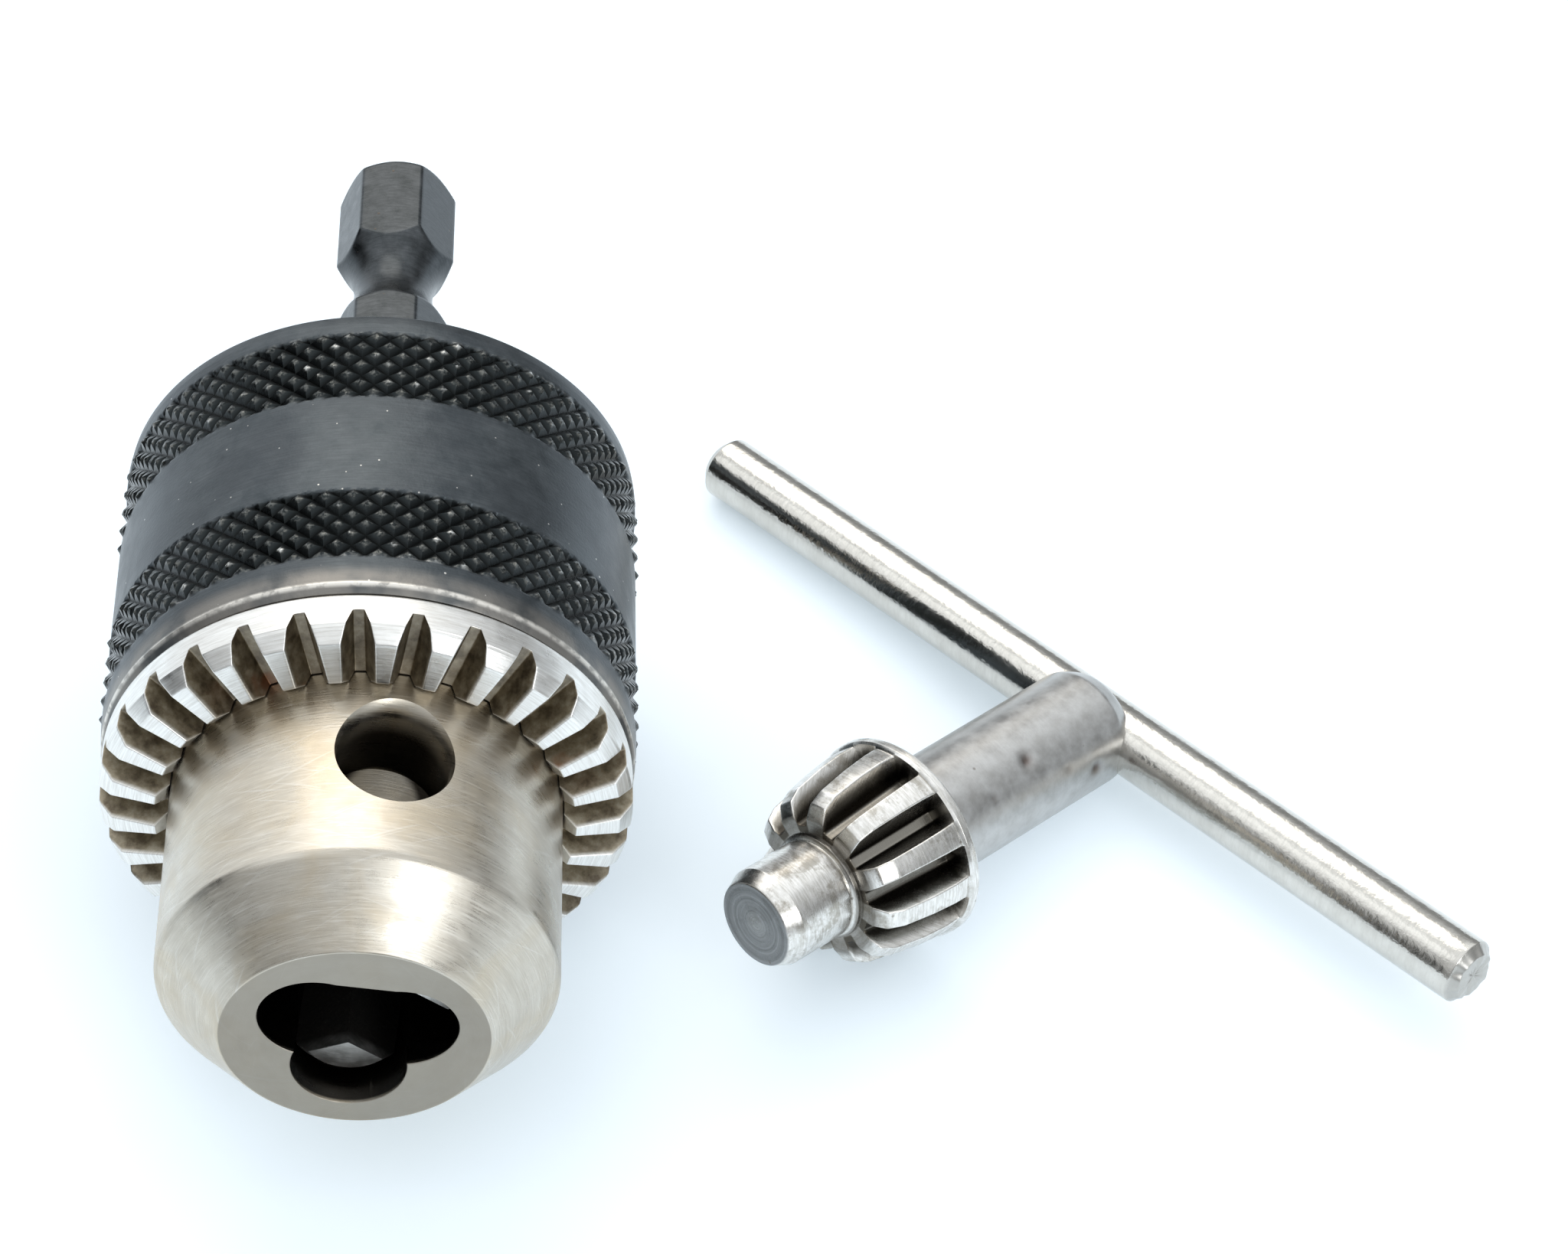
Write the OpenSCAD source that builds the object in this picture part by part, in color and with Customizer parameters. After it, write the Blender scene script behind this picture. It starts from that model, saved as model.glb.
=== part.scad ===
// Keyed three-jaw drill chuck on a quarter-inch hexagon shank, lying beside its tee-handle key.
// The chuck axis is Y, nose face at y = 0, shank towards +Y; the table is the plane z = -knurl_radius.

/* [Chuck body] */
// Length of the body from nose face to back face
body_length = 39.7; // [39.4:0.1:39.8]
// Radius of the flat nose face
nose_radius = 7.2; // [6.9:0.1:7.4]
// Radius of the bright cylinder behind the nose cone
body_radius = 10.75; // [10.7:0.01:10.76]
// Length of the nose cone along the axis
nose_cone = 3.8; // [3.5:0.1:4.1]
// Radius of the through passage for the drill shank
throat_radius = 3.3; // [3.2:0.05:3.4]
// Distance of the key holes behind the nose face
key_hole_y = 10.9; // [10.7:0.1:11]
// Radius of the three key pilot holes
key_hole_radius = 3.05; // [3.03:0.01:3.1]
// Depth of the countersink that wear has left around each key hole
key_hole_mouth = 0.5; // [0.4:0.1:0.5]
// Turn of the key holes past the middle between two jaw bores, degrees
key_hole_turn = 1.5; // [-2:0.5:2]
// Distance from the axis to the broken-out web between the two upper jaw bores
web_edge = 4.27; // [4.2:0.01:4.3]
// Depth of the broken-out web behind the nose face
web_depth = 2; // [1.5:0.5:2.5]

/* [Jaws] */
// Radius of the round jaw blanks
jaw_radius = 3; // [2.98:0.01:3.01]
// Slope of each jaw against the chuck axis, degrees
jaw_slope = 15; // [14.9:0.1:15.1]
// Gripping radius at the fully open end
grip_open = 3.25; // [3.2:0.01:3.3]
// Jaw tip behind the nose face when fully open
jaw_front = 2.2; // [2.1:0.1:2.5]
// Jaw tail behind the nose face when fully open
jaw_tail = 32.5; // [32:0.1:32.6]
// Jaw travel along its bore for one turn of the sleeve
thread_lead = 1.2; // [1.19:0.01:1.21]

/* [Ring gear] */
// Number of bevel teeth on the ring
ring_teeth = 29; // [27:1:29]
// Outside radius of the ring
ring_radius = 14.6; // [14.5:0.05:14.65]
// Width of the tooth gap floor
ring_floor = 0.6; // [0.5:0.05:0.7]

/* [Sleeve] */
// Radius over the two knurled bands
knurl_radius = 15; // [14.95:0.01:15.05]
// Radius of the smooth band between them
band_radius = 14.8; // [14.7:0.05:14.85]
// Length of the sleeve end face behind the nose face
sleeve_end = 40; // [39.9:0.1:40.1]

/* [Hexagon shank] */
// Across flats of the drive hexagon
hex_flats = 6.35; // [6.3:0.01:6.35]
// Far end of the shank behind the nose face
shank_end = 66.5; // [66:0.1:67]
// Distance from the far end to the centre of the snap groove
groove_back = 9.5; // [9.4:0.1:9.6]

/* [Key] */
// Radius of the key pilot
pilot_radius = 2.98; // [2.94:0.01:2.98]
// Number of pinion teeth
pinion_teeth = 11; // [10:1:11]
// Radius of the key shank
key_shank_radius = 3.63; // [3.6:0.01:3.65]
// Radius of the cross bar
bar_radius = 2; // [1.98:0.01:2]
// Length of the cross bar
bar_length = 61; // [60:0.5:61]

/* [Node shown] */
// Piece to draw, or all of them

/* [Hidden] */
$fn = 96;
bore_clear = 0.08;
bore_radius = jaw_radius + bore_clear;
jaw_offset = 2.45;
// turn of the body about its axis, jaws and holes 60 degrees apart
body_turn = 12;
slope_rise = tan(jaw_slope);
nut_front = 17.4;
nut_back = 22.4;
nut_radius = 12.9;
axial_gap = 0.1;
rear_radius = 13.42;
cavity_radius = 13.5;
thread_depth = 0.55;
thread_pitch = thread_lead * cos(jaw_slope);
socket_radius = 4.75;
socket_depth = 12;
screw_pitch = 1.058;
nut_steps = 24;
hex_corner = hex_flats / 2 / cos(30);
gap_angle = 20.7;
ring_turn = 2.3;
spigot_radius = 13.8;
spigot_end = 20.3;
key_tilt = 9.35;
key_roll = 2.45;
key_heading = -47.49;
key_x = 41.9;
key_y = 31.67;
key_rise = 3.383;
pinion_turn = 6.2;
bright = [0.78, 0.76, 0.72];
black = [0.16, 0.17, 0.19];
tooth = [0.66, 0.62, 0.55];

// radius of the outer line of the jaws at a distance from the nose
function jaw_line(z) = jaw_offset + z * slope_rise + jaw_radius / cos(jaw_slope);
// zig-zag screw profile between two radii
function zigzag(crest, root, start, pitch, turns) =
    [for (i = [0 : 2 * turns]) [i % 2 == 0 ? root : crest, start + i * pitch / 2]];

// local z runs along the chuck axis, angles count from straight up towards +X
module along_chuck(turn = 0) {
    rotate([-90, 0, 0]) rotate([0, 0, turn - 90]) children();
}

module jaw_axis() {
    translate([jaw_offset, 0, 0]) rotate([0, jaw_slope, 0]) children();
}

module key_place() {
    translate([key_x, key_y, key_rise - knurl_radius])
        rotate([0, 0, key_heading]) rotate([-key_tilt, 0, 0]) rotate([0, -key_roll, 0]) children();
}

module body_shell() {
    rotate_extrude()
        polygon([
            [0, 0],
            [nose_radius, 0],
            [body_radius, nose_cone],
            [body_radius, nut_front - axial_gap],
            [jaw_line(nut_front) - thread_depth - 0.1, nut_front - axial_gap],
            [jaw_line(nut_back) - thread_depth - 0.1, nut_back + axial_gap],
            [rear_radius, nut_back + axial_gap],
            [rear_radius, body_length - 0.5],
            [rear_radius - 0.5, body_length],
            [0, body_length]
        ]);
}

module screw_blank(radius, start, turns) {
    rotate_extrude()
        polygon(concat(
            [[0, start]],
            zigzag(radius, radius - 0.5, start, screw_pitch, turns),
            [[0, start + turns * screw_pitch]]
        ));
}

module key_hole() {
    translate([0, 0, key_hole_y]) rotate([0, 90, 0]) {
        translate([0, 0, 5.5]) cylinder(r = key_hole_radius, h = 8);
        translate([0, 0, 4.5]) cylinder(r1 = 0.3, r2 = key_hole_radius, h = 1);
        translate([0, 0, body_radius - key_hole_mouth])
            cylinder(r1 = key_hole_radius, r2 = key_hole_radius + key_hole_mouth + 0.5,
                h = key_hole_mouth + 0.5);
    }
}

module chuck_body() {
    color(bright) along_chuck()
        difference() {
            body_shell();
            translate([0, 0, -1]) cylinder(r = throat_radius, h = body_length);
            for (i = [0 : 2])
                rotate([0, 0, body_turn + 60 + 120 * i]) jaw_axis()
                    translate([0, 0, -3]) cylinder(r = bore_radius, h = 37.6);
            rotate([0, 0, body_turn]) translate([2, -2.1, -1]) cube([web_edge - 2, 4.2, web_depth + 1]);
            for (i = [0 : 2]) rotate([0, 0, body_turn + key_hole_turn + 120 * i]) key_hole();
            screw_blank(socket_radius, body_length - 11 * screw_pitch, 11);
            translate([0, 0, body_length - 0.4]) cylinder(r1 = socket_radius - 0.2, r2 = 5.2, h = 0.8);
        }
}

// one jaw at its open stop, ring grooves on its back match the nut at that angle
module jaw(place) {
    face = body_turn + 60 + 120 * place;
    phase = thread_pitch * ((face - 90) / 360 - floor((face - 90) / 360));
    first = ceil((jaw_front + 13 - phase) / thread_pitch);
    last = floor((jaw_tail - 0.4 - phase) / thread_pitch);
    color(tooth) along_chuck(face)
        difference() {
            intersection() {
                jaw_axis() cylinder(r = jaw_radius, h = 40);
                translate([0, 0, jaw_front]) linear_extrude(height = jaw_tail - jaw_front)
                    polygon([[grip_open, 0], [grip_open + 12, 12 * tan(60)], [grip_open + 12, -12 * tan(60)]]);
                cylinder(r = rear_radius - 0.07, h = 40);
            }
            tip_chamfer();
            for (n = [first : last]) rack_groove(n * thread_pitch + phase);
        }
}

module tip_chamfer() {
    translate([0, 0, jaw_front])
        translate([jaw_offset + jaw_front * slope_rise, 0, 0])
            difference() {
                translate([0, 0, -2]) cylinder(r = 6, h = 2.9);
                translate([0, 0, -2]) cylinder(r1 = 0.4, r2 = jaw_radius + 0.3, h = 2.9);
            }
}

// groove around the chuck axis, wider than the nut crest by the running gap
module rack_groove(z) {
    deep = jaw_line(z) - thread_depth - 0.12;
    wide = 0.36;
    rotate_extrude()
        polygon([
            [deep, z - 0.22],
            [deep, z + 0.22],
            [deep + 1.4, z + wide + 0.55],
            [deep + 1.4, z - wide - 0.55]
        ]);
}

// one thread crest of the nut, its base is buried in the conical bore
module nut_crest(z) {
    tip = jaw_line(z) - 0.5;
    rotate_extrude(angle = 360 / nut_steps - 1)
        polygon([[tip, z - 0.1], [tip, z + 0.1], [tip + 0.92, z + 0.456], [tip + 0.92, z - 0.456]]);
}

// half of the split nut, the crests climb one pitch in a turn and stop at the split
module nut_half(side) {
    color(tooth) rotate([-90, 0, 0]) rotate([0, 0, side * 180])
        union() {
            rotate([0, 0, 0.2]) rotate_extrude(angle = 179.6)
                polygon([
                    [nut_radius, nut_front],
                    [jaw_line(nut_front) + 0.12, nut_front],
                    [jaw_line(nut_back) + 0.12, nut_back],
                    [nut_radius, nut_back]
                ]);
            for (s = [0 : nut_steps / 2 - 1], n = [14 : 20])
                let (z = (n + (s + 0.5) / nut_steps + side / 2) * thread_pitch)
                    if (z > nut_front + 0.5 && z < nut_back - 0.5)
                        rotate([0, 0, s * 360 / nut_steps + 0.5]) nut_crest(z);
        }
}

module ring_blank() {
    rotate_extrude()
        polygon([
            [body_radius + 0.08, 15.45],
            [11.5, 14.7],
            [13.9, 15.25],
            [ring_radius - 0.1, 16],
            [ring_radius, 16.15],
            [ring_radius, 18.25],
            [spigot_radius, 18.25],
            [spigot_radius, spigot_end],
            [nut_radius, spigot_end],
            [nut_radius, nut_front - axial_gap],
            [body_radius + 0.08, nut_front - axial_gap]
        ]);
}

module ring_gap() {
    half = ring_floor / 2;
    side = half + 3.4 * tan(gap_angle);
    translate([11.5, 0, 16.35]) rotate([0, -13.6, 0]) translate([-1.5, 0, 0])
        rotate([90, 0, 90]) linear_extrude(height = 6)
            polygon([[-half, 0], [half, 0], [side, -3.4], [-side, -3.4]]);
}

module gear_ring() {
    color(bright) along_chuck()
        difference() {
            ring_blank();
            for (i = [0 : ring_teeth - 1]) rotate([0, 0, ring_turn + i * 360 / ring_teeth]) ring_gap();
        }
}

module sleeve() {
    color(black) along_chuck()
        rotate_extrude()
            polygon([
                [spigot_radius, 18.45],
                [14.4, 18.45],
                [14.72, 18.95],
                [band_radius, 20.6],
                [knurl_radius, 20.95],
                [knurl_radius, 25.8],
                [band_radius, 26],
                [band_radius, 32.95],
                [knurl_radius, 33.15],
                [knurl_radius, 38.1],
                [band_radius, 38.3],
                [band_radius - 0.1, sleeve_end - 0.4],
                [band_radius - 0.5, sleeve_end],
                [cavity_radius + 0.3, sleeve_end],
                [cavity_radius, sleeve_end - 0.4],
                [cavity_radius, nut_back - 0.3],
                [nut_radius, nut_back - 0.5],
                [nut_radius, spigot_end + 0.1],
                [spigot_radius, spigot_end + 0.1]
            ]);
}

module hex_shank() {
    color(black) along_chuck(-2)
        difference() {
            union() {
                screw_blank(socket_radius - 0.04, body_length - 10 * screw_pitch, 9);
                translate([0, 0, body_length - 1.3]) cylinder(r = 4.2, h = 1.4);
                translate([0, 0, body_length]) cylinder(r = 4.7, h = 1.2);
                intersection() {
                    translate([0, 0, body_length]) rotate([0, 0, 30])
                        cylinder(r = hex_corner, h = shank_end - body_length, $fn = 6);
                    rotate_extrude()
                        polygon([
                            [0, body_length],
                            [hex_corner + 0.3, body_length],
                            [hex_corner + 0.3, shank_end - 1.05],
                            [hex_flats / 2 - 0.25, shank_end],
                            [0, shank_end]
                        ]);
                }
            }
            translate([0, 0, shank_end - groove_back])
                rotate_extrude() translate([7, 0]) circle(r = 4.6);
        }
}

module key_blank() {
    rotate_extrude()
        polygon([
            [0, -0.3],
            [2.2, -0.3],
            [3.15, 0.35],
            [key_shank_radius, 1.4],
            [key_shank_radius, 16.63],
            [6.05, 16.63],
            [6.17, 16.75],
            [6.17, 17.25],
            [6.05, 17.35],
            [5.95, 17.36],
            [5.95, 18.4],
            [5.8, 20],
            [5.45, 22],
            [5, 22.9],
            [4.3, 23.25],
            [3.2, 23.25],
            [3.2, 23.5],
            [pilot_radius, 23.5],
            [pilot_radius, 27.5],
            [2.55, 28.44],
            [0, 28.44]
        ]);
}

module key_body() {
    color(bright) key_place()
        difference() {
            rotate([90, 0, 0])
                difference() {
                    key_blank();
                    for (i = [0 : pinion_teeth - 1])
                        rotate([0, 0, pinion_turn + (i + 0.5) * 360 / pinion_teeth]) tooth_space();
                    rotate([0, 0, 54]) translate([key_shank_radius + 0.5, 0, 8.9]) sphere(r = 0.8);
                    rotate([0, 0, 9]) translate([key_shank_radius + 0.5, 0, 3.9]) sphere(r = 0.8);
                }
            rotate([0, 90, 0]) cylinder(r = bar_radius + 0.01, h = 12, center = true);
        }
}

module tooth_space() {
    intersection() {
        translate([4.35, 0, 17.36]) rotate([0, -6.7, 0]) translate([0, 0, -1])
            linear_extrude(height = 9)
                polygon([[0, -0.35], [0, 0.35], [3, 0.35 + 3 * tan(22)], [3, -0.35 - 3 * tan(22)]]);
        translate([0, -4, 17.36]) cube([12, 8, 5.9]);
    }
}

module key_bar() {
    color(bright) key_place() translate([-32.1, 0, 0])
        rotate([0, 90, 0]) rotate_extrude()
            polygon([
                [0, 0],
                [bar_radius - 0.5, 0],
                [bar_radius, 0.5],
                [bar_radius, bar_length - 0.6],
                [bar_radius - 0.55, bar_length],
                [0, bar_length]
            ]);
}

chuck_body();
jaw(0);  // jaw_1
jaw(1);  // jaw_2
jaw(2);  // jaw_3
nut_half(0);  // nut_half_1
nut_half(1);  // nut_half_2
gear_ring();
sleeve();
hex_shank();
key_body();
key_bar();
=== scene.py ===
"""Looks of a small keyed drill chuck and its tee-handle key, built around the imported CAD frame.

Lengths are millimetres until a mesh is made. The chuck axis is Y with the nose face at y = 0,
and angles round it count from straight up (+Z) towards +X.
"""
import math

import bpy
import numpy as np
from mathutils import Matrix, Vector


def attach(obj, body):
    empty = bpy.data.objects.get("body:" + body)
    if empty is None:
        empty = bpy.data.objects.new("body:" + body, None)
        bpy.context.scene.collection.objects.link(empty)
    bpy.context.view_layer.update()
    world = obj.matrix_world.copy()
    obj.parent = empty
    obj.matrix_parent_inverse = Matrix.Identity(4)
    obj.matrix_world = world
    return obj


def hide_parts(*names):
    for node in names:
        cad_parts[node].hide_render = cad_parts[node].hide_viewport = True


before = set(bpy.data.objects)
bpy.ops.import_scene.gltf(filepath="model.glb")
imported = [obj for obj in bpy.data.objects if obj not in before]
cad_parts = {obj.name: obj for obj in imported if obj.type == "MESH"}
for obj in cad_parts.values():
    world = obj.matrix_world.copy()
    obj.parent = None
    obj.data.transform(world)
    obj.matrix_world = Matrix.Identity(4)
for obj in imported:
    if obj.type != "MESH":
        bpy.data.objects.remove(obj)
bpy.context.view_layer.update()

MM = 0.001
TABLE_Z = -15.0
AHEAD = np.array([0, 1.0, 0])  # from the nose to the shank

# body
NOSE_R, BODY_R, CONE_Y = 7.2, 10.75, 3.8
REAR_R, BODY_END = 13.42, 39.7
THROAT_R, SOCKET_R, SOCKET_FLOOR = 3.3, 4.75, 28.0
BORE_R, BORE_OFFSET, SLOPE = 3.08, 2.45, math.radians(15)
BORE_ENDS = (-3.0, 34.6)
BODY_TURN = 12.0
KEY_HOLE_R, KEY_HOLE_Y, KEY_HOLE_FLOOR = 3.05, 10.9, 5.5
KEY_HOLE_MOUTH, KEY_HOLE_LIP, KEY_HOLE_TURN = 0.5, 1.6, 1.5
WEB_EDGE, WEB_HALF, WEB_INNER, WEB_DEPTH = 4.27, 2.1, 2.0, 2.0
# the edge round the openings of the nose face: distance behind the face, and growth there
NOSE_EDGE = ((-0.05, 0.09), (0.04, 0.0))
JAW_FRONT = 2.2  # front ends of the open jaws
# nut and its groove
NUT_FRONT, NUT_BACK, NUT_R, NUT_PLAY = 17.4, 22.4, 12.9, 0.1
GROOVE_FRONT_R, GROOVE_BACK_R = 9.57, 10.9
# ring gear; its spigot sits in the sleeve
RING_R, RING_BORE, RING_TEETH, RING_TURN = 14.6, 10.83, 29, 2.3
RING_TILT, RING_FLANK = math.radians(13.6), math.radians(20.7)
RING_FLOOR_HALF, RING_FLOOR_R, RING_FLOOR_Y = 0.30, 11.5, 16.35
RING_SEAT, RING_BACK, RIM_BEVEL = 17.3, 18.25, 0.03
SPIGOT_R, SPIGOT_END, SPIGOT_SEAT = 13.8, 20.3, 20.4
# sleeve
BAND_R, SLEEVE_END, CAVITY_R = 14.8, 40.0, 13.5
SLEEVE_FRONT, SIDE_START, SIDE_END = 18.45, 20.2, 38.9
KNURL_COUNT, KNURL_ROW, KNURL_CELLS = 61, 1.456, 12
KNURL_DEEP, KNURL_PROUD, KNURL_FADE = 0.20, 0.20, 0.16
KNURL_SEED, WEAR_LOW, WEAR_HIGH, WEAR_ROWS = 7, 0.56, 0.96, 64
BANDS = ((20.85, 25.9), (33.05, 38.2))
# drive shank
HEX_FLATS, HEX_START, SHANK_END, SHANK_TURN = 6.35, 40.95, 66.5, math.radians(-2)
GROOVE_Y, GROOVE_ARC_R, GROOVE_ARC_AT = 57.0, 4.6, 7.0
SHANK_EDGE = 0.2
# key, with distances counted along its shank from the bar's end
KEY_SPOT = (41.9, 31.67, 3.383 + TABLE_Z)
KEY_TURNS = (-9.35, -2.45, -47.49)
KEY_SHANK_R, PILOT_R, PILOT_FOOT_R = 3.63, 2.98, 3.22
FLANGE_S, FLANGE_R = 16.63, 6.17
PINION_TEETH, PINION_TURN, PINION_FLANK = 11, 6.2, math.radians(22)
PINION_S, PINION_END, PINION_FLOOR_R, PINION_TAPER = 17.36, 23.25, 4.35, 0.1175
# dents in the key's shank: distance along it, degrees round it, depth, width
DENTS = ((8.9, 54, 0.16, 0.42), (3.9, 9, 0.18, 0.40), (12.3, 40, 0.05, 0.25), (6.2, 25, 0.05, 0.3))
BAR_R, BAR_START, BAR_END = 2.0, -32.1, 28.9
# where looks change: y on the body where the painted shade of its openings stops, radius less the cone's rise
# inside which the bores are painted shaded, and distance along the key
BRIGHT_BACK, BORE_SHADE, POLISHED_FROM = (34.0, 36.0), (6.4, 6.9), (16.2, 16.7)
# points round each turned piece
BORE_POINTS, BODY_COLUMNS, SHANK_COLUMNS, BAR_COLUMNS = 96, 384, 288, 128


# ---------------------------------------------------------------- outlines and grids

def rounded(corners, steps=4):
    """Points of a line through (x, y, radius) corners, each corner with an arc of its radius."""
    line = []
    for i, (x, y, radius) in enumerate(corners):
        here = np.array([x, y], float)
        if radius <= 0 or i in (0, len(corners) - 1):
            line.append(here)
            continue
        back = np.array(corners[i - 1][:2], float) - here
        ahead = np.array(corners[i + 1][:2], float) - here
        back_len, ahead_len = np.linalg.norm(back), np.linalg.norm(ahead)
        back, ahead = back / back_len, ahead / ahead_len
        half = math.acos(float(np.clip(back @ ahead, -1, 1))) / 2
        cut = min(radius / math.tan(half), 0.45 * back_len, 0.45 * ahead_len)
        radius = cut * math.tan(half)
        middle = (back + ahead) / np.linalg.norm(back + ahead)
        centre = here + middle * radius / math.sin(half)
        first, last = here + back * cut - centre, here + ahead * cut - centre
        a0 = math.atan2(first[1], first[0])
        sweep = (math.atan2(last[1], last[0]) - a0 + math.pi) % math.tau - math.pi
        for k in range(steps + 1):
            a = a0 + sweep * k / steps
            line.append(centre + radius * np.array([math.cos(a), math.sin(a)]))
    return np.array(line)


def spaced(line, longest):
    """The same line with points added so that no stretch is longer than longest."""
    out = [line[0]]
    for a, b in zip(line[:-1], line[1:]):
        n = max(1, math.ceil(np.linalg.norm(b - a) / longest))
        out += [a + (b - a) * k / n for k in range(1, n + 1)]
    return np.array(out)


def around_chuck(radius, y, angle):
    """Points at a radius and a distance from the nose, at angles in radians."""
    radius, y, angle = np.broadcast_arrays(radius, y, angle)
    return np.stack([radius * np.sin(angle), y, radius * np.cos(angle)], -1)


def around_key(radius, s, angle):
    """Points in the key's own axes at a distance s along its shank."""
    radius, s, angle = np.broadcast_arrays(radius, s, angle)
    return np.stack([radius * np.cos(angle), -s, radius * np.sin(angle)], -1)


def key_matrix():
    """The key's own axes where it lies, in mm."""
    tilt, roll, heading = (math.radians(a) for a in KEY_TURNS)
    turn = Matrix.Rotation(heading, 4, "Z") @ Matrix.Rotation(tilt, 4, "X")
    return Matrix.Translation(KEY_SPOT) @ turn @ Matrix.Rotation(roll, 4, "Y")


def circle(columns):
    """Angles evenly round a circle."""
    return np.arange(columns) * math.tau / columns


def grid_faces(columns, rows, wrap_rows=False):
    """Quads of a grid that closes round its columns, and round its rows if asked."""
    i = np.arange(columns)[:, None]
    j = np.arange(rows if wrap_rows else rows - 1)[None, :]
    ii, jj = (i + 1) % columns, (j + 1) % rows
    corners = np.broadcast_arrays(i * rows + j, ii * rows + j, ii * rows + jj, i * rows + jj)
    return np.stack(corners, -1).reshape(-1, 4)


def new_mesh(name, points, faces):
    """A smooth mesh from points in mm and faces given as index lists or arrays."""
    mesh = bpy.data.meshes.new(name)
    faces = [list(map(int, f)) for f in faces]
    mesh.from_pydata((np.asarray(points) * MM).tolist(), [], faces)
    mesh.shade_smooth()
    mesh.update()
    return mesh


def capped(points, columns, rows):
    """Points and faces of a grid whose first and last row are closed with fans."""
    points, faces = list(points), grid_faces(columns, rows).tolist()
    for row in (0, rows - 1):
        ring = [i * rows + row for i in range(columns)]
        points.append(np.mean([points[k] for k in ring], 0))
        hub = len(points) - 1
        for a, b in zip(ring, ring[1:] + ring[:1]):
            faces.append([b, a, hub] if row == 0 else [a, b, hub])
    return np.array(points), faces


def linked(name, data):
    """A new object in the scene that holds a mesh, a camera or a lamp."""
    made = bpy.data.objects.new(name, data)
    bpy.context.scene.collection.objects.link(made)
    return made


def show(name, mesh, node, body, material):
    """Makes a mesh a piece that stands for a CAD node and moves with its body."""
    piece = linked(name, mesh)
    mesh.materials.clear()
    mesh.materials.append(material)
    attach(piece, body)
    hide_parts(node)


def attribute(mesh, name, values):
    """Keeps a number at each vertex for the material to read."""
    layer = mesh.attributes.new(name, "FLOAT", "POINT")
    layer.data.foreach_set("value", np.asarray(values, np.float32).ravel())


# ---------------------------------------------------------------- materials

class Paint:
    """A node material with one Principled shader."""

    def __init__(self, name, colour=None, metallic=1.0, roughness=0.4, **sockets):
        self.material = bpy.data.materials.new(name)
        self.material.use_nodes = True
        self.tree = self.material.node_tree
        self.tree.nodes.clear()
        self.shader = self.tree.nodes.new("ShaderNodeBsdfPrincipled")
        out = self.tree.nodes.new("ShaderNodeOutputMaterial")
        self.tree.links.new(self.shader.outputs[0], out.inputs["Surface"])
        self.shader.inputs["Metallic"].default_value = metallic
        self.shader.inputs["Roughness"].default_value = roughness
        if colour:
            self.shader.inputs["Base Color"].default_value = (*colour, 1)
        for socket, value in sockets.items():
            self.shader.inputs[socket.replace("_", " ")].default_value = value

    def node(self, kind, **settings):
        made = self.tree.nodes.new("ShaderNode" + kind)
        for key, value in settings.items():
            setattr(made, key, value)
        return made

    def put(self, value, socket):
        if isinstance(value, bpy.types.NodeSocket):
            self.tree.links.new(value, socket)
        elif value is not None:
            socket.default_value = value

    def to(self, socket, value):
        self.put(value, self.shader.inputs[socket])

    def math(self, operation, a, b=None):
        made = self.node("Math", operation=operation)
        for k, value in enumerate((a, b)):
            self.put(value, made.inputs[k])
        return made.outputs[0]

    def times(self, a, b):
        return self.math("MULTIPLY", a, b)

    def plus(self, a, b):
        return self.math("ADD", a, b)

    def vector(self, x, y, z):
        made = self.node("CombineXYZ")
        for k, value in enumerate((x, y, z)):
            self.put(value, made.inputs[k])
        return made.outputs[0]

    def place(self, own_axes=None):
        """Position on the piece as x, y, z, in its own axes if a matrix is given."""
        spot = self.node("TexCoord").outputs["Object"]
        if own_axes is not None:
            mapping = self.node("Mapping", vector_type="TEXTURE")
            self.put(spot, mapping.inputs["Vector"])
            mapping.inputs["Location"].default_value = own_axes.translation * MM
            mapping.inputs["Rotation"].default_value = own_axes.to_euler("XYZ")
            spot = mapping.outputs[0]
        scale = self.node("VectorMath", operation="SCALE")
        self.put(spot, scale.inputs[0])
        scale.inputs["Scale"].default_value = 1 / MM
        split = self.node("SeparateXYZ")
        self.put(scale.outputs[0], split.inputs[0])
        return split.outputs[0], split.outputs[1], split.outputs[2]

    def radius(self, a, b):
        return self.math("SQRT", self.plus(self.times(a, a), self.times(b, b)))

    def noise(self, where, scale, detail=3.0, rough=0.55, distort=0.0):
        made = self.node("TexNoise")
        self.put(where, made.inputs["Vector"])
        made.inputs["Scale"].default_value = scale
        made.inputs["Detail"].default_value = detail
        made.inputs["Roughness"].default_value = rough
        made.inputs["Distortion"].default_value = distort
        return made.outputs["Fac"]

    def cells(self, where, scale):
        """Distance to the nearest of many scattered points."""
        made = self.node("TexVoronoi")
        self.put(where, made.inputs["Vector"])
        made.inputs["Scale"].default_value = scale
        return made.outputs["Distance"]

    def ramp(self, value, *stops):
        """A colour ramp; a stop is (position, grey) or (position, (r, g, b))."""
        made = self.node("ValToRGB")
        elements = made.color_ramp.elements
        while len(elements) < len(stops):
            elements.new(0.5)
        for element, (position, shade) in zip(elements, stops):
            element.position = position
            element.color = (*(shade if isinstance(shade, tuple) else (shade,) * 3), 1)
        self.put(value, made.inputs["Fac"])
        return made.outputs["Color"]

    def span(self, value, low, high, to_low=0.0, to_high=1.0):
        """A smooth change from to_low to to_high as the value goes from low to high."""
        made = self.node("MapRange", interpolation_type="SMOOTHSTEP")
        for k, item in enumerate((value, low, high, to_low, to_high)):
            self.put(item, made.inputs[k])
        return made.outputs[0]

    def mix(self, share, a, b):
        """Colour a, with the share given of colour b over it."""
        made = self.node("Mix", data_type="RGBA")
        self.put(share, made.inputs["Factor"])
        for value, socket in ((a, made.inputs["A"]), (b, made.inputs["B"])):
            self.put((*value, 1) if isinstance(value, tuple) else value, socket)
        return made.outputs["Result"]

    def fac(self, name):
        """A number kept at the mesh's vertices."""
        return self.node("Attribute", attribute_name=name).outputs["Fac"]

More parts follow.
